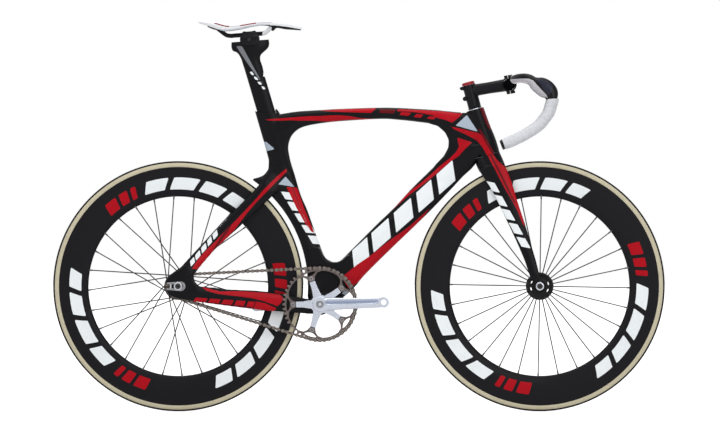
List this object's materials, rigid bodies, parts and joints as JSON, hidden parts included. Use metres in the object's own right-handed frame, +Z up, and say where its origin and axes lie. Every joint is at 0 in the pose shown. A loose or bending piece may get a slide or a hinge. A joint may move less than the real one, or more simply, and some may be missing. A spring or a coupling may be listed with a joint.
{
  "type": "track bicycle",
  "caption": "Fixed-gear track bicycle: aero carbon frame, deep-section spoked wheels, drop handlebar, toothed chain drive and no brakes.",
  "frame": {"origin": "on the ground, midway between the places where the two wheels touch it, in the bicycle's middle plane", "axes": "+X forward, +Y to the rider's left, +Z up; the chain is on the -Y side"},
  "size_m": [1.633, 0.4254, 1.042],
  "materials": {
    "black_paint": "gloss black paint over carbon fibre",
    "black_rim": "satin clear coat over carbon fibre",
    "cream_rubber": "matt cream sidewall with a black tread strip",
    "spoke_steel": "dark drawn stainless steel",
    "black_alloy": "black anodised",
    "silver": "polished silver",
    "dark_steel": "oiled grey-brown steel",
    "white_tape": "matt white wrapped tape",
    "white_cover": "smooth white synthetic leather",
    "black_plastic": "matt black nylon",
    "red_alloy": "red anodised"
  },
  "bodies": {
    "frame": {"head_tube": "black_paint", "top_tube": "black_paint", "down_tube": "black_paint", "seat_tube": "black_paint", "bottom_bracket_shell": "black_paint", "seat_stay_left": "black_paint", "seat_stay_right": "black_paint", "chain_stay_left": "black_paint", "chain_stay_right": "black_paint", "track_end_left": "silver", "track_end_right": "silver", "headset_lower": "silver", "headset_upper": "silver", "seat_clamp": "black_alloy", "seat_clamp_bolt": "silver", "bearing_cup_left": "black_alloy", "bearing_cup_right": "black_alloy", "rear_axle": "silver", "rear_axle_nut_left": "silver", "rear_axle_nut_right": "silver", "chain": "dark_steel"},
    "fork": {"fork": "black_paint", "headset_spacer": "black_alloy", "stem": "black_alloy", "stem_faceplate": "black_alloy", "stem_cap": "red_alloy", "front_axle": "silver", "front_axle_nut_left": "silver", "front_axle_nut_right": "silver"},
    "handlebar": {"handlebar": "black_alloy", "bar_tape_left": "white_tape", "bar_tape_right": "white_tape", "bar_plug_left": "black_plastic", "bar_plug_right": "black_plastic"},
    "front_wheel": {"front_tyre": "cream_rubber", "front_rim": "black_rim", "front_hub": "black_alloy", "front_spokes_left": "spoke_steel", "front_spokes_right": "spoke_steel"},
    "rear_wheel": {"rear_tyre": "cream_rubber", "rear_rim": "black_rim", "rear_hub": "black_alloy", "rear_spokes_left": "spoke_steel", "rear_spokes_right": "spoke_steel", "sprocket": "dark_steel", "lockring": "silver"},
    "crankset": {"crank_spindle": "silver", "crank_arm_left": "silver", "crank_arm_right": "silver", "chainring": "dark_steel"},
    "seat_post": {"seat_post": "black_paint"},
    "saddle_clamp": {"saddle_clamp_base": "black_alloy", "saddle_clamp_cap": "black_alloy", "saddle_clamp_bolt": "silver"},
    "saddle": {"saddle_shell": "black_plastic", "saddle_padding": "white_cover", "saddle_rail_left": "black_alloy", "saddle_rail_right": "black_alloy"}
  },
  "joints": [
    {"name": "steering", "type": "hinge", "parent": "frame", "child": "fork", "pos_m": [0.34468, 0, 0.6839], "axis": [-0.2672, 0, 0.9636], "range_deg": [-75, 75]},
    {"name": "handlebar_turn", "type": "hinge", "parent": "fork", "child": "handlebar", "pos_m": [0.40073, 0, 0.87239], "axis": [0, 1, 0], "range_deg": [-20, 20]},
    {"name": "front_wheel_spin", "type": "hinge", "parent": "fork", "child": "front_wheel", "pos_m": [0.4825, 0, 0.334], "axis": [0, 1, 0], "continuous": true},
    {"name": "rear_wheel_spin", "type": "hinge", "parent": "frame", "child": "rear_wheel", "pos_m": [-0.4825, 0, 0.334], "axis": [0, 1, 0], "continuous": true},
    {"name": "crank_spin", "type": "hinge", "parent": "frame", "child": "crankset", "pos_m": [-0.10403, 0, 0.286], "axis": [0, 1, 0], "continuous": true},
    {"name": "seat_post_slide", "type": "slide", "parent": "frame", "child": "seat_post", "axis": [-0.284, 0, 0.9588], "range_m": [-0.06, 0.04]},
    {"name": "saddle_tilt", "type": "hinge", "parent": "seat_post", "child": "saddle_clamp", "pos_m": [-0.29201, 0, 1.001], "axis": [0, 1, 0], "range_deg": [-8, 8]},
    {"name": "saddle_slide", "type": "slide", "parent": "saddle_clamp", "child": "saddle", "axis": [0.9973, 0, 0.0732], "range_m": [-0.012, 0.012]}
  ],
  "couplings": [
    {"joint": "crank_spin", "follows": "rear_wheel_spin", "ratio": 0.3125}
  ]
}
